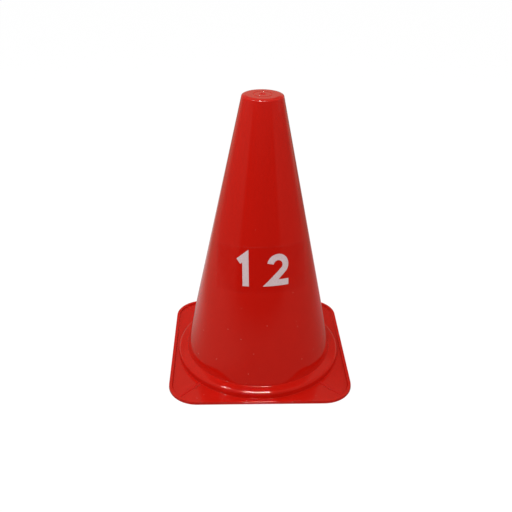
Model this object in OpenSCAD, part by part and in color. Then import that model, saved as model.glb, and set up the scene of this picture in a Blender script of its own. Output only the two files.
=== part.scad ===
// Sports marker cone, 12 inch class: a hollow one-piece moulding with a clear film label on its front.
// Millimetres. The origin is the centre of the face that it rests on, +Z is up and -Y is the front.

/* [Cone wall] */
// Height from the ground to the flat top
overall_h = 305; // [240:1:380]
// Outer diameter of the wall in the plane of the flat top, before the edge is rounded
top_d = 41.5; // [34:0.5:60]
// Outer diameter of the wall where it meets the ring, before the fillet
foot_d = 165.2; // [150:0.2:168]
// Thickness of the wall and of the ring
wall_t = 1.8; // [1.2:0.1:2.6]
// Thickness of the flat top
lid_t = 2.4; // [1.5:0.1:4]
// Width of the sloped band between the flat top and the edge of the wall
top_band_w = 4; // [2:0.1:6]
// How far that band drops on its way out
top_drop = 1.1; // [0.4:0.1:2]
// Rounding of the edge between that band and the wall
top_round = 1.5; // [0.8:0.1:3]
// Rounding between the flat top and that band
top_soft = 6; // [2:0.5:10]
// Fillet between the wall and the ring
foot_fillet = 0.3; // [0.3:0.1:3]

/* [Flat top] */
// Diameter of the shallow groove round the middle
groove_d = 18.6; // [14:0.2:24]
// Width of that groove
groove_w = 0.8; // [0.4:0.1:1.5]
// Depth of that groove
groove_deep = 0.4; // [0.1:0.1:0.6]
// Diameter of the dimple that the moulding gate sits in
dimple_d = 6.4; // [5:0.2:10]
// Depth of that dimple, which is also the height of the gate's stub
dimple_deep = 0.4; // [0.2:0.1:0.8]
// Diameter of the gate's stub
gate_d = 2.2; // [1:0.1:3]

/* [Ring] */
// Outer diameter of the ring at the plate, before the fillet
ring_d = 186; // [182:0.2:190]
// Height of the ring's shoulder above the ground
ring_h = 8.4; // [6.5:0.1:14]
// Rise of the ring's top from its shoulder to the wall
ring_crown = 1.4; // [0:0.1:2]
// How far the ring's outer face leans in on its way up
ring_lean = 0.6; // [0:0.1:1.5]
// Rounding of the ring's shoulder
ring_round = 3.2; // [1.5:0.1:3.5]
// Fillet between the ring and the plate
ring_fillet = 0.4; // [0.3:0.1:1.2]

/* [Base plate] */
// Side of the square base
base_w = 200; // [198:1:240]
// Radius of the base's corners
corner_r = 32.5; // [20:0.5:40]
// Thickness of the plate
plate_t = 1.4; // [1.2:0.1:3]
// Width of the raised rim
rim_w = 4; // [2.5:0.1:4.6]
// Height of the rim above the ground
rim_h = 3.3; // [3:0.1:6]
// How far each face of the rim leans in on its way up
rim_lean = 0.3; // [0:0.1:0.5]
// Rounding of the rim's two upper edges
rim_round = 0.4; // [0.3:0.1:0.9]

/* [Corner ribs] */
// Width of the diagonal rib in each corner
rib_w = 3.4; // [1.5:0.1:5]
// Rise of the ribs above the plate
rib_rise = 0.5; // [0.3:0.1:1.6]
// Rounding of a rib's two upper edges
rib_round = 0.3; // [0.2:0.1:0.7]

/* [Label film] */
// Length of the film, measured flat
film_w = 108; // [60:1:120]
// Height of the film, measured flat
film_h = 49.5; // [30:0.5:60]
// Radius of the film's corners
film_corner_r = 3; // [1:0.5:8]
// Thickness of the film
film_t = 0.15; // [0.1:0.01:0.3]
// Thickness of the adhesive, left open between the wall and the film
film_gap = 0.05; // [0.03:0.01:0.1]
// Height of the film's middle above the ground
film_mid_h = 138; // [110:1:170]
// Turn of the film about its middle, in degrees, with the right end up
film_turn = 1; // [-5:0.5:5]

/* [Hidden] */
$fn = 96;
// Steps in each rounded corner of an outline
arc_steps = 8;
// How far a cut runs past the face that it opens
overrun = 1;
// Columns and rows of the film's grid
film_columns = 44;
film_rows = 8;

top_r = top_d / 2;
foot_r = foot_d / 2;
ring_r = ring_d / 2;
base_half = base_w / 2;
// Height of the ring's top where it meets the wall
ring_top_h = ring_h + ring_crown;
// The wall's angle from the vertical, and what its thickness measures along a level line
wall_angle = atan2(foot_r - top_r, overall_h - ring_top_h);
wall_level = wall_t / cos(wall_angle);
// Height of the point that the wall's outer face would taper to
apex_h = overall_h + top_r / tan(wall_angle);
// Level radius of the wall's outer face at a height
function wall_r(h) = (apex_h - h) * tan(wall_angle);
// Height and radius of the edge between the sloped band and the wall, and radius of the flat top
top_edge_h = overall_h - top_drop;
top_edge_r = wall_r(top_edge_h);
flat_top_r = top_edge_r - top_band_w;
// Distance from a corner's centre, along the diagonal, to the rim's inner face
corner_centre = base_half - corner_r;
rib_end = corner_centre * sqrt(2) + corner_r - rim_w / 2;
// The ribs start inside the ring's outer face
rib_start = ring_r - ring_lean - wall_t / 2;

function unit(v) = v / norm(v);

// Arc of radius r that rounds the corner b between its neighbours a and c. Radius zero keeps the corner.
function corner_arc(a, b, c, r) =
    r == 0 ? [b] :
    let (
        u = unit(a - b),
        v = unit(c - b),
        half = acos(u * v) / 2,
        centre = b + unit(u + v) * r / sin(half),
        from = b + u * r / tan(half) - centre,
        to = b + v * r / tan(half) - centre,
        start = atan2(from.y, from.x),
        sweep = (atan2(to.y, to.x) - start + 540) % 360 - 180
    )
    [for (i = [0 : arc_steps]) let (t = start + sweep * i / arc_steps) centre + r * [cos(t), sin(t)]];

// Closed outline through corners given as [x, y, radius], each corner rounded by its own radius
function rounded(corners) =
    let (n = len(corners), at = [for (p = corners) [p.x, p.y]])
    [for (i = [0 : n - 1]) each corner_arc(at[(i + n - 1) % n], at[i], at[(i + 1) % n], corners[i].z)];

// Outside of everything that is turned about the axis, from the plate up to the flat top
module outer_profile() {
    plate_reach = ring_r + 2 * ring_fillet;
    polygon(rounded([
        [0, 0, 0],
        [plate_reach, 0, 0],
        [plate_reach, plate_t, 0],
        [ring_r, plate_t, ring_fillet],
        [ring_r - ring_lean, ring_h, ring_round],
        [foot_r, ring_top_h, foot_fillet],
        [top_edge_r, top_edge_h, top_round],
        [flat_top_r, overall_h, top_soft],
        [0, overall_h, 0]
    ]));
}

// The hollow under it, which leaves the same wall round the ring and up the cone
module hollow_profile() {
    hollow_top = overall_h - lid_t;
    ring_inner_r = ring_r - wall_t;
    inner_round = max(ring_round - wall_t, wall_t / 2);
    ceiling_r = wall_r(hollow_top) - wall_level;
    neck_h = ring_top_h - wall_t;
    polygon(rounded([
        [0, -overrun, 0],
        [ring_inner_r, -overrun, 0],
        [ring_inner_r, plate_t, 0],
        [ring_inner_r - ring_lean, ring_h - wall_t, inner_round],
        [wall_r(neck_h) - wall_level, neck_h, foot_fillet + wall_t],
        [ceiling_r, hollow_top, wall_t],
        [0, hollow_top, 0]
    ]));
}

// Cross-section of the rim, with the part of the plate that it stands on. Its outer face is at x = 0.
module rim_profile() {
    inner = -rim_w;
    tongue = inner - rim_w / 2;
    polygon(rounded([
        [tongue, 0, 0],
        [0, 0, 0],
        [-rim_lean, rim_h, rim_round],
        [inner + rim_lean, rim_h, rim_round],
        [inner, plate_t, 0],
        [tongue, plate_t, 0]
    ]));
}

// Rim and rim foot, carried along the four sides and round the four corners
module rim() {
    for (turn = [0 : 90 : 270]) rotate([0, 0, turn]) {
        translate([base_half, corner_centre, 0]) rotate([90, 0, 0])
            linear_extrude(height = 2 * corner_centre) rim_profile();
        translate([corner_centre, corner_centre, 0])
            rotate_extrude(angle = 90) translate([corner_r, 0]) rim_profile();
    }
}

// Flat plate inside the rim
module plate() {
    flat_half = base_half - rim_w;
    flat_r = corner_r - rim_w;
    centre = flat_half - flat_r;
    linear_extrude(height = plate_t) {
        square([2 * flat_half, 2 * centre], center = true);
        square([2 * centre, 2 * flat_half], center = true);
        for (x = [-centre, centre], y = [-centre, centre]) translate([x, y]) circle(flat_r);
    }
}

// One low flat rib from the ring out to the rim, along +X
module rib() {
    half = rib_w / 2;
    top = plate_t + rib_rise;
    translate([rib_start, 0, 0]) rotate([90, 0, 90]) linear_extrude(height = rib_end - rib_start)
        polygon(rounded([[-half, 0, 0], [half, 0, 0], [half, top, rib_round], [-half, top, rib_round]]));
}

// Shallow groove and gate dimple that are cut into the flat top
module top_marks() {
    translate([0, 0, overall_h - groove_deep]) difference() {
        cylinder(h = groove_deep + overrun, d = groove_d + groove_w);
        translate([0, 0, -overrun]) cylinder(h = groove_deep + 3 * overrun, d = groove_d - groove_w);
    }
    translate([0, 0, overall_h - dimple_deep]) difference() {
        cylinder(h = dimple_deep + overrun, d = dimple_d);
        translate([0, 0, -overrun]) cylinder(h = dimple_deep + overrun, d = gate_d);
    }
}

// Wall, flat top, ring, plate, rim and ribs, moulded as one piece
module cone_moulding() {
    color([0.78, 0.09, 0.05])
    difference() {
        union() {
            plate();
            rim();
            for (turn = [45 : 90 : 315]) rotate([0, 0, turn]) rib();
            rotate_extrude() outer_profile();
        }
        rotate_extrude() hollow_profile();
        top_marks();
    }
}

// Point of the flat film, x along it and y up it, laid on the wall and lifted off it by lift.
// A cone unrolls to a fan: the distance from the fan's tip is the slant from the apex, and the
// angle in the fan is the turn about the axis times the sine of the wall's angle.
function laid(x, y, lift) =
    let (
        slant = (apex_h - film_mid_h) / cos(wall_angle),
        across = x * cos(film_turn) - y * sin(film_turn),
        down = slant - x * sin(film_turn) - y * cos(film_turn),
        along = norm([across, down]),
        turn = atan2(across, down) / sin(wall_angle),
        level = along * sin(wall_angle) + lift * cos(wall_angle)
    )
    [level * sin(turn), -level * cos(turn), apex_h - along * cos(wall_angle) + lift * sin(wall_angle)];

// Half height of the film at a distance x from its middle, less near its rounded ends
function film_half(x) =
    let (past = max(abs(x) - (film_w / 2 - film_corner_r), 0))
    film_h / 2 - film_corner_r + sqrt(max(film_corner_r * film_corner_r - past * past, 0));

// Place of a column along the film, with the columns closer together towards its ends
function column_x(i) = -film_w / 2 * cos(180 * i / film_columns);

// Clear film, as a grid of columns and rows with an inner and an outer face
module label_film() {
    per_column = film_rows + 1;
    layer = (film_columns + 1) * per_column;
    points = [
        for (lift = [film_gap, film_gap + film_t], i = [0 : film_columns], j = [0 : film_rows])
            laid(column_x(i), film_half(column_x(i)) * (2 * j / film_rows - 1), lift)
    ];
    function at(i, j, side) = side * layer + i * per_column + j;
    faces = [
        for (i = [0 : film_columns - 1], j = [0 : film_rows - 1]) each [
            [at(i, j, 0), at(i + 1, j, 0), at(i + 1, j + 1, 0)],
            [at(i, j, 0), at(i + 1, j + 1, 0), at(i, j + 1, 0)],
            [at(i, j, 1), at(i + 1, j + 1, 1), at(i + 1, j, 1)],
            [at(i, j, 1), at(i, j + 1, 1), at(i + 1, j + 1, 1)]
        ],
        for (i = [0 : film_columns - 1]) each [
            [at(i, 0, 0), at(i, 0, 1), at(i + 1, 0, 1)],
            [at(i, 0, 0), at(i + 1, 0, 1), at(i + 1, 0, 0)],
            [at(i, film_rows, 0), at(i + 1, film_rows, 1), at(i, film_rows, 1)],
            [at(i, film_rows, 0), at(i + 1, film_rows, 0), at(i + 1, film_rows, 1)]
        ],
        for (j = [0 : film_rows - 1]) each [
            [at(0, j, 0), at(0, j + 1, 1), at(0, j, 1)],
            [at(0, j, 0), at(0, j + 1, 0), at(0, j + 1, 1)],
            [at(film_columns, j, 0), at(film_columns, j, 1), at(film_columns, j + 1, 1)],
            [at(film_columns, j, 0), at(film_columns, j + 1, 1), at(film_columns, j + 1, 0)]
        ]
    ];
    color([0.9, 0.9, 0.95, 0.3]) polyhedron(points = points, faces = faces);
}

cone_moulding();
label_film();
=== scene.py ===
import math

import bpy
import numpy as np
from mathutils import Matrix, Vector


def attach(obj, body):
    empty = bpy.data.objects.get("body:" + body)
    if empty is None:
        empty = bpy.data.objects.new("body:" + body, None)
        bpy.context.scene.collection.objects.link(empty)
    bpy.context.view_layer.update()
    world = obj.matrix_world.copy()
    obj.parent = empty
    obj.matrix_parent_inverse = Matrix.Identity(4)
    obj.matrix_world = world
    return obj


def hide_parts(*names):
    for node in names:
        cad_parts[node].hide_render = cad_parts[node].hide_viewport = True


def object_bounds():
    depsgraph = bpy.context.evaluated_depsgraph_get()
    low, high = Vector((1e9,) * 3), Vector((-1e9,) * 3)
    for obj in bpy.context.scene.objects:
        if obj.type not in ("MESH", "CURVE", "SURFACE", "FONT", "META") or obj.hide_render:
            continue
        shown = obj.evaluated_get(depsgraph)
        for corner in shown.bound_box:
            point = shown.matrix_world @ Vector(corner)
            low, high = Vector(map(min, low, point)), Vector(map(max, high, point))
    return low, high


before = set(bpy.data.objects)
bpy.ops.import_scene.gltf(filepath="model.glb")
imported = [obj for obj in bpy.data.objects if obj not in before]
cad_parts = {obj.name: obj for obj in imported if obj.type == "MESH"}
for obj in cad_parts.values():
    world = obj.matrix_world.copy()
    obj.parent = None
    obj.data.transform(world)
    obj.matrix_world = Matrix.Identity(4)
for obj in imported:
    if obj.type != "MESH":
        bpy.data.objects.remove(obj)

cad_low, cad_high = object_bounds()
MM = 0.001
BODY = "root"

# Sizes of the moulding, in metres
base_w = cad_high.x - cad_low.x
overall_h = cad_high.z - cad_low.z
top_r = 20.75 * MM
foot_r = 82.6 * MM
wall_t = 1.8 * MM
lid_t = 2.4 * MM
top_band_w = 4 * MM
top_drop = 1.1 * MM
top_round = 1.5 * MM
top_soft = 6 * MM
foot_fillet = 0.3 * MM
ring_r = 93 * MM
ring_h = 8.4 * MM
ring_top_h = 9.8 * MM
ring_lean = 0.6 * MM
ring_round = 3.2 * MM
ring_fillet = 0.4 * MM
corner_r = 32.5 * MM
plate_t = 1.4 * MM
rim_w = 4 * MM
rim_h = 3.3 * MM
rim_lean = 0.3 * MM
rim_round = 0.4 * MM
under_round = 0.4 * MM
rib_w = 3.4 * MM
rib_rise = 0.5 * MM
rib_round = 0.3 * MM
groove_r = 9.3 * MM
groove_w = 0.8 * MM
groove_deep = 0.4 * MM
dimple_r = 3.2 * MM
dimple_deep = 0.4 * MM
gate_r = 1.1 * MM
mark_round = 0.15 * MM

# The worn lip of the flat top: how deep and how wide it is, and how dull
lip_deep = 2.6 * MM
lip_w = 2 * MM
lip_dull = 0.4

# Sizes of the film and of the number printed on it, in metres
film_w = 108 * MM
film_h = 49.5 * MM
film_corner_r = 3 * MM
film_t = 0.15 * MM
film_gap = 0.05 * MM
film_edge_round = 0.08 * MM
film_mid_h = 138 * MM
film_turn = math.radians(1)
ink_t = 0.03 * MM
ink_edge_round = 0.05 * MM
digit_h = 34 * MM
digit_w = 23 * MM
digit_space = 11 * MM
stroke_w = 6.6 * MM

# Spacing of the meshes. A guard is how far from a rounded edge a flat stretch gets a row of its own.
side_columns = 64
outside_step = 20 * MM
outside_guard = 0.3 * MM
hollow_step = 30 * MM
hollow_guard = 0.4 * MM
rim_step = 3 * MM
rim_guard = 0.12 * MM
rib_guard = 0.15 * MM
plate_rows = 6
plate_guard_share = 0.03
under_rows = 5
film_columns = 97
film_rows = 25
stroke_columns = 7
stroke_step = 4 * MM
arc_points = 40

# The sides of a slab turn over in steps, in degrees, down to a share of its thickness
side_turns = (30, 60, 90)
side_share = 0.8

# The wall's angle from the vertical, its level thickness, and the height that its outer face tapers to
wall_angle = math.atan2(foot_r - top_r, overall_h - ring_top_h)
wall_level = wall_t / math.cos(wall_angle)
apex_h = overall_h + top_r / math.tan(wall_angle)


def wall_r(height):
    """Level radius of the wall's outer face at a height."""
    return (apex_h - height) * math.tan(wall_angle)


# The edge between the wall and the sloped band round the flat top
top_edge_h = overall_h - top_drop
top_edge_r = wall_r(top_edge_h)
flat_top_r = top_edge_r - top_band_w


def make_mesh(name, points, faces, smooth=True, **marks):
    """A mesh object at the origin from an array of points and a list of faces.
    Each mark is a value for every point, which a material can read by the mark's name."""
    mesh = bpy.data.meshes.new(name)
    mesh.from_pydata(points.tolist(), [], faces)
    mesh.polygons.foreach_set("use_smooth", np.full(len(mesh.polygons), smooth))
    for mark, values in marks.items():
        attribute = mesh.attributes.new(mark, "FLOAT", "POINT")
        attribute.data.foreach_set("value", np.asarray(values, np.float32))
    mesh.validate()
    mesh.update()
    piece = bpy.data.objects.new(name, mesh)
    bpy.context.scene.collection.objects.link(piece)
    return piece


def grid_quads(rows, columns, wrap=False):
    """Corner numbers of every cell of a grid of rows by columns.
    With wrap, the last column joins the first."""
    number = np.arange(rows * columns).reshape(rows, columns)
    right = np.roll(number, -1, axis=1)
    cells = np.stack([number[:-1], right[:-1], right[1:], number[1:]], axis=-1)
    return cells.reshape(-1, 4) if wrap else cells[:, :-1].reshape(-1, 4)


def rounded_path(corners):
    """An open outline through [x, y, radius, steps], each inner corner turned into an arc.
    The arc's centre lies on the corner's bisector, at the radius over the sine of half the angle."""
    at = np.array([c[:2] for c in corners], float)
    path = [at[:1]]
    for i in range(1, len(corners) - 1):
        radius, steps = corners[i][2:]
        if radius == 0:
            path.append(at[i : i + 1])
            continue
        u = at[i - 1] - at[i]
        v = at[i + 1] - at[i]
        u = u / np.linalg.norm(u)
        v = v / np.linalg.norm(v)
        half = math.acos(np.dot(u, v)) / 2
        middle = (u + v) / np.linalg.norm(u + v)
        centre = at[i] + middle * radius / math.sin(half)
        start = at[i] + u * radius / math.tan(half) - centre
        end = at[i] + v * radius / math.tan(half) - centre
        first = math.atan2(start[1], start[0])
        sweep = (math.atan2(end[1], end[0]) - first + 3 * math.pi) % (2 * math.pi) - math.pi
        turn = first + sweep * np.linspace(0, 1, steps + 1)
        path.append(centre + radius * np.stack([np.cos(turn), np.sin(turn)], axis=-1))
    path.append(at[-1:])
    return np.concatenate(path)


def filled(path, step, guard=0):
    """The same outline with points added, so that no stretch is longer than step.
    With a guard, a long stretch also gets a point at that distance from each end, which keeps the
    shading of round edges off the flat."""
    out = [path[:1]]
    for a, b in zip(path[:-1], path[1:]):
        length = np.linalg.norm(b - a)
        share = np.linspace(0, 1, max(1, math.ceil(length / step)) + 1)
        if 0 < 4 * guard < length:
            share = np.union1d(share, [guard / length, 1 - guard / length])
        out.append(a + (b - a) * share[1:, None])
    return np.concatenate(out)


# Distances from a corner's diagonal that carry the rib's cross-section, and its relief there: flat with
# two rounded edges, a steep side and a foot
rib_edge = rib_round * np.sin(np.linspace(0, math.pi / 2, 5))
rib_flat = rib_w / 2 - rib_round
rib_beside = MM * np.array([0.04, 0.1, 0.4, 0.9, 1.6])
rib_offsets = np.concatenate([[0, rib_flat - rib_guard], rib_flat + rib_edge, rib_w / 2 + rib_beside])
rib_fall = rib_rise - rib_round + np.sqrt(rib_round**2 - rib_edge**2)
rib_relief = np.concatenate([[rib_rise, rib_rise], rib_fall, 0 * rib_beside])


def spread(near, whole, share):
    """Values near one end of a stretch, then even steps, then the same values before its other end."""
    between = near[-1] + (whole - 2 * near[-1]) * share
    return np.concatenate([near, between, (whole - near)[::-1]])


def quarter_columns():
    """One quarter turn of the moulding's columns, which run out from the axis, from one corner's diagonal
    to just before the next. Gives the azimuth at the ring's foot, the point and outward normal on the
    base's outline, and the rib's relief. Near a diagonal a column keeps its distance from it, so that the
    rib's sides run straight."""
    inner = corner_r - rim_w
    centre = base_w / 2 - corner_r
    arc = corner_r * (math.pi / 4)
    straight = 2 * centre
    azimuth = np.arcsin(rib_offsets / (ring_r + ring_fillet))
    place = corner_r * np.arcsin(rib_offsets / inner)
    share = np.linspace(0, 1, side_columns + 2)[1:-1]
    whole = 2 * arc + straight
    azimuths = spread(azimuth, math.pi / 2, share)
    places = spread(place, whole, share)
    relief = np.concatenate([rib_relief, np.zeros(side_columns), rib_relief[::-1]])
    # The outline runs from the diagonal of corner (+x, -y) up the +x side to that of corner (+x, +y)
    turn = np.where(
        places < arc,
        places / corner_r - math.pi / 4,
        np.where(places > arc + straight, (places - arc - straight) / corner_r, 0),
    )
    along = np.clip(places - arc, 0, straight) - centre
    normal = np.stack([np.cos(turn), np.sin(turn)], axis=-1)
    point = np.stack([np.full_like(along, centre), along], axis=-1) + corner_r * normal
    return (azimuths - math.pi / 4)[:-1], point[:-1], normal[:-1], relief[:-1]


def all_columns():
    """The four quarters joined into one turn."""
    azimuth, point, normal, relief = quarter_columns()
    azimuths, points, normals = [], [], []
    for quarter in range(4):
        c, s = math.cos(quarter * math.pi / 2), math.sin(quarter * math.pi / 2)
        spin = np.array([[c, s], [-s, c]])
        azimuths.append(azimuth + quarter * math.pi / 2)
        points.append(point @ spin)
        normals.append(normal @ spin)
    return np.concatenate(azimuths), np.concatenate(points), np.concatenate(normals), np.tile(relief, 4)


azimuths, outline, outline_normals, ribs = all_columns()
spokes = np.stack([np.cos(azimuths), np.sin(azimuths)], axis=-1)


def turned_rows(path):
    """Rows of a surface turned about the axis: radius and height along a path, at every column's azimuth."""
    flat = path[:, 0, None, None] * spokes[None]
    height = np.broadcast_to(path[:, 1, None, None], flat.shape[:2] + (1,))
    return np.concatenate([flat, height], axis=-1)


def rim_rows(path):
    """Rows that run parallel to the base's outline: inset from it and height along a path."""
    flat = outline[None] - path[:, 0, None, None] * outline_normals[None]
    height = np.broadcast_to(path[:, 1, None, None], flat.shape[:2] + (1,))
    return np.concatenate([flat, height], axis=-1)


def blend_rows(circle_r, inset, height, shares):
    """Flat rows that pass from a circle, at share 0, to a line parallel to the base's outline, at 1."""
    near = circle_r * spokes
    far = outline - inset * outline_normals
    flat = near[None] * (1 - shares[:, None, None]) + far[None] * shares[:, None, None]
    return np.concatenate([flat, np.full(flat.shape[:2] + (1,), height)], axis=-1)


def outside_profile():
    """Radius and height from the middle of the gate's stub, over the dimple, the groove, the flat top and
    its band, down the wall and over the ring to the plate. Each corner is an arc."""
    top = overall_h
    groove_in = groove_r - groove_w / 2
    groove_out = groove_r + groove_w / 2
    return rounded_path([
        [0, top - mark_round, 0, 0],
        [gate_r, top - mark_round, mark_round, 4],
        [gate_r + mark_round, top - dimple_deep, mark_round, 4],
        [dimple_r - mark_round, top - dimple_deep, mark_round, 4],
        [dimple_r, top, mark_round, 4],
        [groove_in - mark_round, top, mark_round, 4],
        [groove_in + mark_round, top - groove_deep, mark_round, 4],
        [groove_out - mark_round, top - groove_deep, mark_round, 4],
        [groove_out + mark_round, top, mark_round, 4],
        [flat_top_r, top, top_soft, 6],
        [top_edge_r, top_edge_h, top_round, 10],
        [foot_r, ring_top_h, foot_fillet, 8],
        [ring_r - ring_lean, ring_h, ring_round, 12],
        [ring_r, plate_t, ring_fillet, 5],
        [ring_r + ring_fillet, plate_t, 0, 0],
    ])


def rim_profile():
    """Inset from the base's outline and height, from the plate over the rim to the underside."""
    return rounded_path([
        [rim_w, plate_t, 0, 0],
        [rim_w - rim_lean, rim_h, rim_round, 6],
        [rim_lean, rim_h, rim_round, 6],
        [0, 0, under_round, 4],
        [rim_w, 0, 0, 0],
    ])


def hollow_profile():
    """Radius and height from the underside up the hollow to the middle of the top's underside. It follows
    the outside at the wall's thickness."""
    hollow_top = overall_h - lid_t
    neck_h = ring_top_h - wall_t
    mouth_r = ring_r - wall_t
    return rounded_path([
        [mouth_r, 0, 0, 0],
        [mouth_r, plate_t, 0, 0],
        [mouth_r - ring_lean, ring_h - wall_t, ring_round - wall_t, 8],
        [wall_r(neck_h) - wall_level, neck_h, foot_fillet + wall_t, 8],
        [wall_r(hollow_top) - wall_level, hollow_top, wall_t, 6],
        [0, hollow_top, 0, 0],
    ])


def cone_skin():
    """The whole moulding as one closed surface: a grid whose rows run from the middle of the flat top, down
    the outside, over the ring, the plate and the rim, back along the underside and up the hollow to the
    top's underside. A point at each end closes the surface."""
    outside = filled(outside_profile(), outside_step, outside_guard)[1:]
    rim = filled(rim_profile(), rim_step, rim_guard)
    hollow = filled(hollow_profile(), hollow_step, hollow_guard)
    even_shares = np.linspace(0, 1, plate_rows + 2)[1:-1]
    plate_shares = np.concatenate([[plate_guard_share], even_shares, [1 - plate_guard_share]])
    rows = np.concatenate([
        turned_rows(outside),
        blend_rows(ring_r + ring_fillet, rim_w, plate_t, plate_shares),
        rim_rows(rim),
        blend_rows(ring_r - wall_t, rim_w, 0, np.linspace(1, 0, under_rows + 2)[1:-1]),
        turned_rows(hollow[:-1]),
    ])
    # The ribs lift whatever lies lower than they do, from the ring's foot out to the rim's top
    raised = len(outside) + len(plate_shares) + int(np.argmax(rim[:, 1]))
    lifted = rows[:raised, :, 2] < plate_t + ribs
    rows[:raised, :, 2] = np.maximum(rows[:raised, :, 2], plate_t + ribs)
    # The ribs' flat tops and the gate's dimple are dull
    height = rows[..., 2]
    from_axis = np.hypot(rows[..., 0], rows[..., 1])
    dull = (height > overall_h - lid_t / 2) & (from_axis < dimple_r + mark_round / 2)
    dull[:raised] |= lifted & (ribs == rib_rise)
    # The lip of the top is worn a little dull by other cones
    lip = (height > overall_h - lip_deep) & (from_axis > top_r - lip_w)
    dull = np.where(lip, lip_dull, dull)
    n_rows, n_columns = rows.shape[:2]
    quads = grid_quads(n_rows, n_columns, wrap=True)
    poles = np.array([[0, 0, overall_h - mark_round], [0, 0, overall_h - lid_t]])
    around = np.arange(n_columns)
    after = np.roll(around, -1)
    first_pole = np.full(n_columns, n_rows * n_columns)
    last = (n_rows - 1) * n_columns
    top_fan = np.stack([first_pole, around, after], axis=-1)
    hollow_fan = np.stack([first_pole + 1, last + after, last + around], axis=-1)
    return make_mesh(
        "cone_moulding_skin",
        np.concatenate([rows.reshape(-1, 3), poles]),
        [*quads[:, ::-1].tolist(), *top_fan.tolist(), *hollow_fan.tolist()],
        dull=np.append(dull, [1, 0]),
    )


def laid(x, y, lift):
    """Points of the flat film laid on the wall, x along it and y up it, lifted off the wall by lift.
    A cone unrolls to a fan: the distance from the fan's tip is the slant from the apex, and the angle in
    the fan is the turn about the axis times the sine of the wall's angle."""
    slant = (apex_h - film_mid_h) / math.cos(wall_angle)
    across = x * math.cos(film_turn) - y * math.sin(film_turn)
    down = slant - x * math.sin(film_turn) - y * math.cos(film_turn)
    along = np.hypot(across, down)
    turn = np.arctan2(across, down) / math.sin(wall_angle)
    level = along * math.sin(wall_angle) + lift * math.cos(wall_angle)
    height = apex_h - along * math.cos(wall_angle) + lift * math.sin(wall_angle)
    return np.stack([level * np.sin(turn), -level * np.cos(turn), height], axis=-1)


def laid_slab(name, x, y, low, high, rounding):
    """A closed slab on the wall: its top face is the grid x, y at the height high, its sides turn over a
    small rounding towards the height low, and its underside is the same grid at low.
    Its edge mark is 1 on the rounding and 0 on both faces."""
    rows, columns = x.shape
    top = laid(x, y, high)
    under = laid(x, y, low)
    edge = np.concatenate([
        np.stack([np.zeros(columns, int), np.arange(columns)], axis=-1)[:-1],
        np.stack([np.arange(rows), np.full(rows, columns - 1)], axis=-1)[:-1],
        np.stack([np.full(columns, rows - 1), np.arange(columns)[::-1]], axis=-1)[:-1],
        np.stack([np.arange(rows)[::-1], np.zeros(rows, int)], axis=-1)[:-1],
    ])
    number = edge[:, 0] * columns + edge[:, 1]
    ex, ey = x[edge[:, 0], edge[:, 1]], y[edge[:, 0], edge[:, 1]]
    out = np.stack([np.roll(ey, -1) - np.roll(ey, 1), np.roll(ex, 1) - np.roll(ex, -1)], axis=-1)
    out = out / np.maximum(np.linalg.norm(out, axis=1, keepdims=True), 1e-12)
    area = np.sum(ex * np.roll(ey, -1) - ey * np.roll(ex, -1))
    out = out * np.sign(area)
    collar = []
    for angle in np.radians(side_turns):
        shift = rounding * np.sin(angle)
        level = high - (high - low) * (1 - np.cos(angle)) * side_share
        collar.append(laid(ex + out[:, 0] * shift, ey + out[:, 1] * shift, level))
    size = rows * columns
    count = len(number)
    around = [2 * size + i * count + np.arange(count) for i in range(len(collar))]
    loops = [number, *around, size + number]
    sides = []
    for a, b in zip(loops[:-1], loops[1:]):
        sides.append(np.stack([a, b, np.roll(b, -1), np.roll(a, -1)], axis=-1))
    sides = np.concatenate(sides)
    face = grid_quads(rows, columns)
    if area < 0:
        sides = sides[:, ::-1]
        face = face[:, ::-1]
    return make_mesh(
        name,
        np.concatenate([top.reshape(-1, 3), under.reshape(-1, 3), *collar]),
        np.concatenate([face, face[:, ::-1] + size, sides]).tolist(),
        edge=np.repeat([0, 1], [2 * size, len(collar) * count]),
    )


def film_slab():
    """The clear film: a rounded rectangle on a grid of columns, closer together at its ends, each cut to
    the height that the rounded corners leave."""
    x = -film_w / 2 * np.cos(np.linspace(0, math.pi, film_columns))
    past = np.maximum(np.abs(x) - (film_w / 2 - film_corner_r), 0)
    half = film_h / 2 - film_corner_r + np.sqrt(np.maximum(film_corner_r**2 - past**2, 0))
    rise = np.linspace(-1, 1, film_rows)
    return laid_slab(
        "label_film_sheet",
        np.broadcast_to(x[None], (film_rows, film_columns)),
        rise[:, None] * half[None],
        film_gap,
        film_gap + film_t,
        film_edge_round,
    )


def stroke(name, path):
    """One printed stroke: a band of even width carried along a path in the film's plane.
    Each point of the path moves sideways along the mitre of its two neighbouring stretches."""
    path = np.asarray(path, float)
    ahead = np.diff(path, axis=0)
    ahead = ahead / np.linalg.norm(ahead, axis=1, keepdims=True)
    before = np.concatenate([ahead[:1], ahead])
    after = np.concatenate([ahead, ahead[-1:]])
    middle = before + after
    middle = middle / np.linalg.norm(middle, axis=1, keepdims=True)
    side = np.stack([-middle[:, 1], middle[:, 0]], axis=-1)
    reach = 1 / np.sum(middle * before, axis=1)
    across = np.linspace(-stroke_w / 2, stroke_w / 2, stroke_columns)
    band = path[:, None] + side[:, None] * (reach[:, None] * across[None])[..., None]
    # More rows between the path's own points, so that the band follows the wall
    band = filled(band.reshape(len(path), -1), stroke_step).reshape(-1, stroke_columns, 2)
    low = film_gap + film_t
    return laid_slab(name, band[..., 0], band[..., 1], low, low + ink_t, ink_edge_round)


def digit_one(middle):
    """The path of a plain 1: a short flag up to the top, then straight down."""
    flag = digit_w / 3
    return np.array([
        [middle - flag, digit_h / 2 - flag],
        [middle, digit_h / 2 - stroke_w / 4],
        [middle, -digit_h / 2],
    ])


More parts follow.
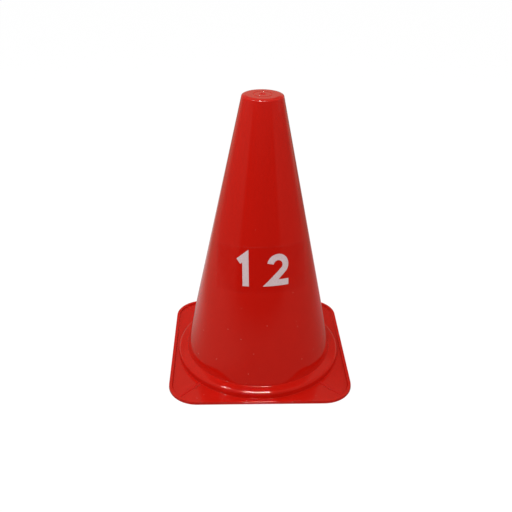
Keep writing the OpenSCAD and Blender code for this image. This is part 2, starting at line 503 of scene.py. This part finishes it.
def digit_two(middle):
    """The path of a plain 2: an arc over the top, clockwise from 170 to -35 degrees, a slant down to the
    left and a level foot."""
    radius = (digit_w - stroke_w) / 2
    crown = digit_h / 2 - stroke_w / 2 - radius
    turn = np.radians(np.linspace(170, -35, arc_points))
    arc = np.stack([middle + radius * np.cos(turn), crown + radius * np.sin(turn)], axis=-1)
    foot = -(digit_h - stroke_w) / 2
    tail = np.array([[middle - radius, foot], [middle + radius + stroke_w / 2, foot]])
    return np.concatenate([arc, tail])


class Nodes:
    """Adds and links the nodes of one material, or of the world.
    Where a method takes a value, it is a number, a colour or another node's output."""

    def __init__(self, tree):
        self.tree = tree

    def fill(self, node, sockets):
        """Fills a node's sockets: a number or a colour is set, and another node's output is linked."""
        for name, value in sockets.items():
            if isinstance(value, bpy.types.NodeSocket):
                self.tree.links.new(value, node.inputs[name])
            else:
                node.inputs[name].default_value = value

    def add(self, kind, sockets=None, **settings):
        """A new node with its settings and filled sockets."""
        node = self.tree.nodes.new(kind)
        for name, value in settings.items():
            setattr(node, name, value)
        self.fill(node, sockets or {})
        return node

    def arithmetic(self, operation, first, second):
        """The outcome of an operation on two values."""
        return self.add("ShaderNodeMath", {0: first, 1: second}, operation=operation).outputs[0]

    def blended(self, share, low, high):
        """A value that passes from low to high as share goes from 0 to 1."""
        sockets = {"Factor": share, "A": low, "B": high}
        return self.add("ShaderNodeMix", sockets, data_type="FLOAT").outputs["Result"]

    def smooth_step(self, value, low, high):
        """A value that rises smoothly from 0 to 1 as the given one passes from low to high."""
        sockets = {"Value": value, "From Min": low, "From Max": high}
        return self.add("ShaderNodeMapRange", sockets, interpolation_type="SMOOTHSTEP").outputs["Result"]

    def split(self, vector):
        """The parts X, Y and Z of a vector."""
        return self.add("ShaderNodeSeparateXYZ", {"Vector": vector}).outputs

    def noise(self, place, scale, detail, distortion=0):
        """A cloudy pattern from 0 to 1, with its scale in waves to the metre."""
        sockets = {"Vector": place, "Scale": scale, "Detail": detail, "Distortion": distortion}
        return self.add("ShaderNodeTexNoise", sockets).outputs["Fac"]

    def toned(self, share, low, low_colour, high, high_colour):
        """A colour that passes from one to the other as share goes from low to high."""
        node = self.add("ShaderNodeValToRGB", {"Fac": share})
        first, last = node.color_ramp.elements
        first.position, first.color = low, low_colour
        last.position, last.color = high, high_colour
        return node.outputs["Color"]

    def shining(self, kind, colour, strength):
        """An Emission or Background shader."""
        return self.add(kind, {"Color": colour, "Strength": strength}).outputs[0]

    def mixed(self, share, first, second):
        """A shader that passes from the first to the second as share goes from 0 to 1."""
        return self.add("ShaderNodeMixShader", {"Fac": share, 1: first, 2: second}).outputs[0]

    def show(self, surface):
        """Makes a shader the material's surface."""
        output = next(n for n in self.tree.nodes if n.type == "OUTPUT_MATERIAL")
        self.fill(output, {"Surface": surface})


def new_material(name):
    """A new material with its nodes and its Principled shader."""
    material = bpy.data.materials.new(name)
    material.use_nodes = True
    principled = next(n for n in material.node_tree.nodes if n.type == "BSDF_PRINCIPLED")
    return material, Nodes(material.node_tree), principled


# Colours of the moulding and its dust, of thin and full ink, and of the film's cut edge and its clear part
DEEP_RED = (0.58, 0.0072, 0.0030, 1)
BRIGHT_RED = (0.61, 0.0082, 0.0034, 1)
DUST = (0.8, 0.45, 0.42, 1)
THIN_INK = (0.68, 0.50, 0.51, 1)
FULL_INK = (0.76, 0.60, 0.62, 1)
FILM_EDGE = (0.8, 0.7, 0.7, 1)
FILM_TINT = (0.992, 0.955, 0.95, 1)


def red_plastic():
    """Glossy moulded red plastic: a faint unevenness of colour and gloss, an orange-peel bump, hairline
    scuffs and a few specks of dust."""
    material, nodes, principled = new_material("red_plastic")
    place = nodes.add("ShaderNodeTexCoord").outputs["Object"]
    # Colour varies by a few hundredths over hand-sized patches, and with them runs a very fine mottling
    patch = nodes.noise(place, scale=16, detail=3)
    grain = nodes.arithmetic("SUBTRACT", nodes.noise(place, scale=1500, detail=1), 0.5)
    uneven = nodes.arithmetic("ADD", patch, nodes.arithmetic("MULTIPLY", grain, 3))
    red = nodes.toned(uneven, 0.3, DEEP_RED, 0.7, BRIGHT_RED)
    # Dust lies mostly low down: the cells of a fine pattern whose own random number is high show a pale dot
    cells = nodes.add("ShaderNodeTexVoronoi", {"Vector": place, "Scale": 150}).outputs
    dot = nodes.arithmetic("LESS_THAN", cells["Distance"], 0.045)
    chance = nodes.add("ShaderNodeSeparateColor", {"Color": cells["Color"]}).outputs["Red"]
    low_down = nodes.smooth_step(nodes.split(place)["Z"], 0.16, 0.04)
    chosen = nodes.arithmetic("GREATER_THAN", chance, nodes.blended(low_down, 0.96, 0.6))
    speck = nodes.arithmetic("MULTIPLY", dot, chosen)
    sockets = {"Factor": speck, "A": red, "B": DUST}
    dusty = nodes.add("ShaderNodeMix", sockets, data_type="RGBA").outputs["Result"]
    # Gloss: smooth, with dull hairlines where the surface has rubbed
    rub = nodes.noise(place, scale=55, detail=6, distortion=1.5)
    sockets = {"Value": rub, "From Min": 0.35, "From Max": 0.75, "To Min": 0.03, "To Max": 0.055}
    gloss = nodes.add("ShaderNodeMapRange", sockets).outputs["Result"]
    # The marked places are dull: they scatter more of the light and mirror less of it
    dull = nodes.add("ShaderNodeAttribute", attribute_name="dull").outputs["Fac"]
    # Orange peel of the mould's surface
    peel = nodes.noise(place, scale=420, detail=2)
    bump = nodes.add("ShaderNodeBump", {"Strength": 0.05, "Distance": 0.0002, "Height": peel})
    nodes.fill(principled, {
        "Base Color": dusty,
        "IOR": 1.5,
        "Roughness": nodes.blended(dull, gloss, 0.4),
        "Specular IOR Level": nodes.blended(dull, 0.5, 0.15),
        "Normal": bump.outputs["Normal"],
    })
    return material


def clear_film():
    """Clear film, bonded to the wall. It lets the wall and its gloss through and takes away a little green
    and blue. Only its cut edge is faintly milky."""
    material, nodes, principled = new_material("clear_film")
    nodes.fill(principled, {"Base Color": FILM_EDGE, "Roughness": 0.07})
    clear = nodes.add("ShaderNodeBsdfTransparent", {"Color": FILM_TINT}).outputs[0]
    edge = nodes.add("ShaderNodeAttribute", attribute_name="edge").outputs["Fac"]
    milky = nodes.arithmetic("MULTIPLY", edge, 0.12)
    nodes.show(nodes.mixed(milky, clear, principled.outputs[0]))
    return material


def white_ink():
    """Thin white ink: faintly pink where the red shows through its pinholes."""
    material, nodes, principled = new_material("white_ink")
    place = nodes.add("ShaderNodeTexCoord").outputs["Object"]
    pores = nodes.noise(place, scale=900, detail=4)
    tone = nodes.toned(pores, 0.35, THIN_INK, 0.6, FULL_INK)
    nodes.fill(principled, {"Base Color": tone, "Roughness": 0.35})
    return material


def put(piece, material, slot, *cad_nodes):
    """Gives a piece its material and body, and lets it stand for CAD nodes. The slot is not used."""
    piece.data.materials.append(material)
    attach(piece, BODY)
    if cad_nodes:
        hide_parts(*cad_nodes)


# What a reflection sees of the room is a little warm
ROOM_TINT = (1, 1, 0.78, 1)
WHITE = (1, 1, 1, 1)


def surround():
    """The studio around the object. The camera sees white. A reflection sees a dim room, a screen on each
    side, paler parts high up behind and a pale backdrop low down behind. Diffuse light is even."""
    world = bpy.data.worlds.new("studio")
    bpy.context.scene.world = world
    world.use_nodes = True
    world.node_tree.nodes.clear()
    nodes = Nodes(world.node_tree)
    way = nodes.split(nodes.add("ShaderNodeTexCoord").outputs["Generated"])
    height = way["Z"]
    towards = nodes.arithmetic("MULTIPLY", way["Y"], -1)
    azimuth = nodes.arithmetic("ARCTAN2", way["X"], towards)
    left_azimuth = nodes.arithmetic("MULTIPLY", azimuth, -1)
    right = nodes.smooth_step(azimuth, math.radians(41), math.radians(50))
    left = nodes.smooth_step(left_azimuth, math.radians(44), math.radians(56))
    # In front the room gets a little paler above eye level
    front_level = nodes.blended(nodes.smooth_step(height, 0, 0.1), 0.04, 0.1)
    # The screens get darker from eye level down
    rise = nodes.smooth_step(height, -0.16, 0.12)
    level = nodes.blended(right, front_level, nodes.blended(rise, 0.12, 0.19))
    level = nodes.blended(left, level, nodes.blended(rise, 0.16, 0.255))
    # High up behind both sides get paler with height, the left one lower down than the right one
    above = nodes.smooth_step(height, 0.35, 0.5)
    behind = nodes.smooth_step(way["Y"], 0.3, 0.6)
    high_right = nodes.blended(nodes.smooth_step(height, 0.6, 0.66), 0.14, 0.27)
    high_left = nodes.blended(nodes.smooth_step(height, 0.56, 0.62), 0.185, 0.28)
    left_side = nodes.smooth_step(way["X"], 0.03, -0.03)
    high_level = nodes.blended(left_side, high_right, high_left)
    level = nodes.blended(nodes.arithmetic("MULTIPLY", above, behind), level, high_level)
    # A pale backdrop low down behind
    far = nodes.smooth_step(way["Y"], 0.4, 0.8)
    low = nodes.smooth_step(height, 0.42, 0.25)
    level = nodes.blended(nodes.arithmetic("MULTIPLY", far, low), level, 0.37)
    room = nodes.shining("ShaderNodeBackground", ROOM_TINT, level)
    even_fill = nodes.shining("ShaderNodeBackground", WHITE, 0.455)
    plain_white = nodes.shining("ShaderNodeBackground", WHITE, 1)
    path = nodes.add("ShaderNodeLightPath").outputs
    unseen = nodes.mixed(path["Is Glossy Ray"], even_fill, room)
    nodes.add("ShaderNodeOutputWorld", {"Surface": nodes.mixed(path["Is Camera Ray"], unseen, plain_white)})


def floor_sheet():
    """A plain pale floor that keeps the object's soft shadow. The camera sees most of it as plain white.
    A reflection sees a table top: paler on the left, pink close behind the cone, and fading in front and
    at its sides into the room."""
    reach = 4
    drop = 0.02 * MM
    corners = reach * np.array([[-1, -1, 0], [1, -1, 0], [1, 1, 0], [-1, 1, 0]]) - np.array([0, 0, drop])
    floor = make_mesh("floor", corners, [[0, 1, 2, 3]], smooth=False)
    material, nodes, principled = new_material("floor_white")
    nodes.fill(principled, {"Base Color": (0.5, 0.5, 0.5, 1), "Roughness": 0.7, "Specular IOR Level": 0})
    place = nodes.split(nodes.add("ShaderNodeTexCoord").outputs["Object"])
    across, along = place["X"], place["Y"]
    aside = nodes.arithmetic("ABSOLUTE", across, 0)
    table_depth = nodes.smooth_step(along, -0.64, -0.3)
    table_width = nodes.smooth_step(aside, 0.7, 0.5)
    table = nodes.arithmetic("MULTIPLY", table_depth, table_width)
    left = nodes.smooth_step(across, -0.05, -0.15)
    beside = nodes.smooth_step(along, -0.4, -0.15)
    behind = nodes.smooth_step(along, -0.05, 0.12)
    near = nodes.arithmetic("MULTIPLY", nodes.smooth_step(aside, 0.32, 0.15), behind)
    left_level = nodes.blended(near, 0.265, 0.56)
    right_level = nodes.blended(near, 0.165, 0.205)
    level = nodes.blended(nodes.arithmetic("MULTIPLY", left, beside), right_level, left_level)
    bare_top = nodes.shining("ShaderNodeEmission", ROOM_TINT, level)
    # Close behind the cone the table is pink with light from the cone's back
    red_part = nodes.arithmetic("ADD", nodes.arithmetic("MULTIPLY", level, 0.4), 0.4)
    blue_part = nodes.arithmetic("MULTIPLY", level, 0.95)
    pink = nodes.add("ShaderNodeCombineXYZ", {"X": red_part, "Y": level, "Z": blue_part}).outputs[0]
    pink_top = nodes.shining("ShaderNodeEmission", pink, 1)
    past = nodes.add("ShaderNodeBsdfTransparent").outputs[0]
    mirrored = nodes.mixed(table, past, nodes.mixed(near, bare_top, pink_top))
    path = nodes.add("ShaderNodeLightPath").outputs
    direct = nodes.arithmetic("MAXIMUM", path["Is Camera Ray"], path["Is Transmission Ray"])
    plain_white = nodes.shining("ShaderNodeEmission", WHITE, 1.13)
    plain_share = nodes.arithmetic("MULTIPLY", direct, 0.85)
    seen = nodes.mixed(plain_share, principled.outputs[0], plain_white)
    nodes.show(nodes.mixed(path["Is Glossy Ray"], seen, mirrored))
    floor.data.materials.append(material)


def lamp(name, azimuth, elevation, distance, width, height, level, mirrored=False):
    """A soft light panel, aimed at the cone's middle from an azimuth and elevation in degrees. Its level is
    the light that it gives a surface facing it at the cone, where 1 lights a white surface to white.
    A mirrored panel only shows in the gloss, and any other only lights."""
    turn, rise = math.radians(azimuth), math.radians(elevation)
    aim = Vector((0, 0, overall_h / 2))
    way = Vector((math.sin(turn) * math.cos(rise), -math.cos(turn) * math.cos(rise), math.sin(rise)))
    data = bpy.data.lights.new(name, "AREA")
    data.shape = "RECTANGLE"
    data.size = width
    data.size_y = height
    # A flat lamp of power P and area A has radiance P / (pi A), and lights a surface to P / (pi d d)
    data.energy = level * math.pi * math.pi * distance**2
    light = bpy.data.objects.new(name, data)
    light.location = aim + way * distance
    light.rotation_euler = way.to_track_quat("Z", "Y").to_euler()
    light.visible_glossy = mirrored
    light.visible_diffuse = not mirrored
    bpy.context.scene.collection.objects.link(light)


def photo_camera():
    """The photograph's camera: a fitted distance, direction, look-at point and roll, in a square frame."""
    distance = 0.76765
    elevation = math.radians(28.94)
    azimuth = math.radians(-2.264)
    roll = math.radians(0.90)
    look_h = 0.12443
    look_side = -0.00412
    focal_px = 697.96
    frame_px = 512
    back = Vector((
        math.sin(azimuth) * math.cos(elevation),
        -math.cos(azimuth) * math.cos(elevation),
        math.sin(elevation),
    ))
    right = Vector((math.cos(azimuth), math.sin(azimuth), 0))
    up = back.cross(right)
    look = Vector((0, 0, look_h)) + right * look_side
    # The picture is turned clockwise by the roll, so the camera turns the other way
    c, s = math.cos(roll), math.sin(roll)
    right, up = right * c + up * s, up * c - right * s
    data = bpy.data.cameras.new("camera")
    data.sensor_width = 36
    data.lens = focal_px / frame_px * data.sensor_width
    data.clip_start = 0.01
    camera = bpy.data.objects.new("camera", data)
    turn = Matrix((right, up, back)).transposed().to_4x4()
    camera.matrix_world = Matrix.Translation(look + back * distance) @ turn
    bpy.context.scene.collection.objects.link(camera)
    bpy.context.scene.camera = camera


ink = white_ink()
put(cone_skin(), red_plastic(), "red_plastic", "cone_moulding")
put(film_slab(), clear_film(), "clear_film", "label_film")
digit_middle = (digit_w + digit_space) / 2
put(stroke("number_one", digit_one(-digit_middle)), ink, "clear_film")
put(stroke("number_two", digit_two(digit_middle)), ink, "clear_film")
surround()
floor_sheet()

# Name, azimuth, elevation and level of the lamps that only light, all of one size and distance
lamp_distance = 1.1
lamp_w = 0.5
for name, azimuth, elevation, level in [
    ("key", -15, 50, 0.41),
    ("back_left", -120, 50, 0.25),
    ("left_fill", -85, 15, 0.08),
    ("right_fill", 90, 15, 0.125),
    ("back_right", 125, 50, 0.1),
]:
    lamp(name, azimuth, elevation, lamp_distance, lamp_w, lamp_w, level)

# Name, azimuth, elevation, distance, width, height and level of the panels that only show in the gloss
for name, azimuth, elevation, distance, width, height, level in [
    ("overhead_panel", -5.7, 81.2, 1.31, 0.5, 0.08, 1.2),
    ("left_panel", -112.2, 67.8, 1.4, 0.3, 0.1, 0.21),
]:
    lamp(name, azimuth, elevation, distance, width, height, level, mirrored=True)

photo_camera()
bpy.context.scene.view_settings.view_transform = "Standard"
